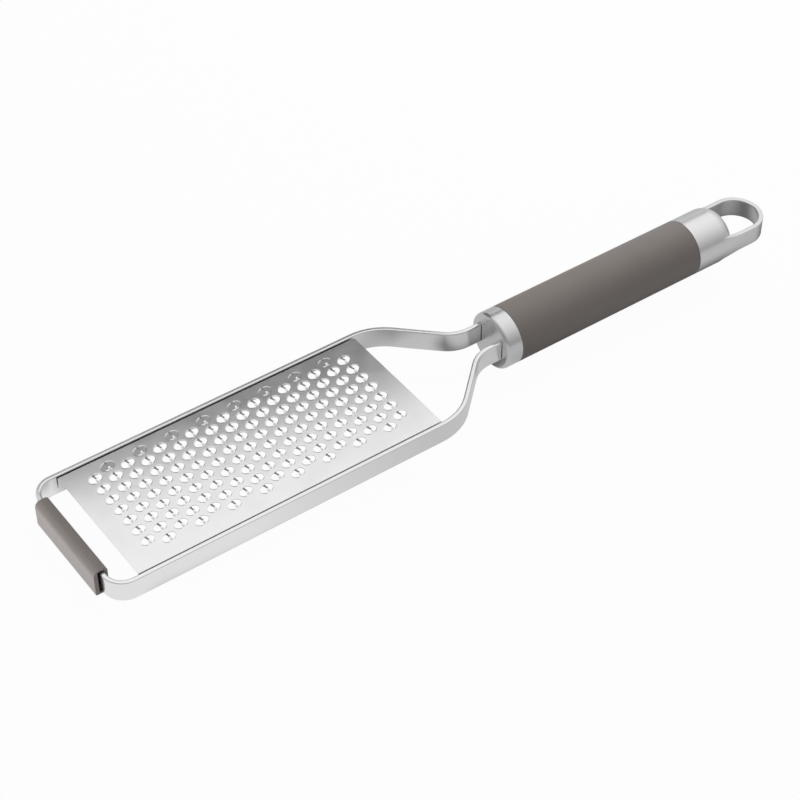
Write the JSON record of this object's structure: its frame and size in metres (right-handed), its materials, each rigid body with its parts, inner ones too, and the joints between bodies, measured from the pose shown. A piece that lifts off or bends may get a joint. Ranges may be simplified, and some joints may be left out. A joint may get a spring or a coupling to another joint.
{
  "type": "hand grater",
  "caption": "Flat hand grater: a toothed steel sheet in a bent flat-bar frame, with a soft foot on the front bar, a round soft-grip handle and a hanging loop.",
  "frame": {"origin": "middle of the soft foot's underside, below the front bar", "axes": "+X along the tool from the front bar to the hanging loop, +Y across the sheet, +Z out of the teeth"},
  "size_m": [0.343, 0.065, 0.025],
  "materials": {
    "frame_steel": "brushed along the bar",
    "sheet_steel": "satin sheet",
    "handle_steel": "brushed round the axis",
    "pin_steel": "turned",
    "foot_rubber": "matt",
    "grip_rubber": "matt soft-touch",
    "core_plastic": "moulded"
  },
  "bodies": {
    "root": {"frame_strip": "frame_steel", "grating_plate": "sheet_steel", "front_foot": "foot_rubber", "ferrule": "handle_steel", "grip_sleeve": "grip_rubber", "end_cap": "handle_steel", "handle_core": "core_plastic", "tang_pin": "pin_steel", "cap_stud": "pin_steel"}
  },
  "joints": []
}
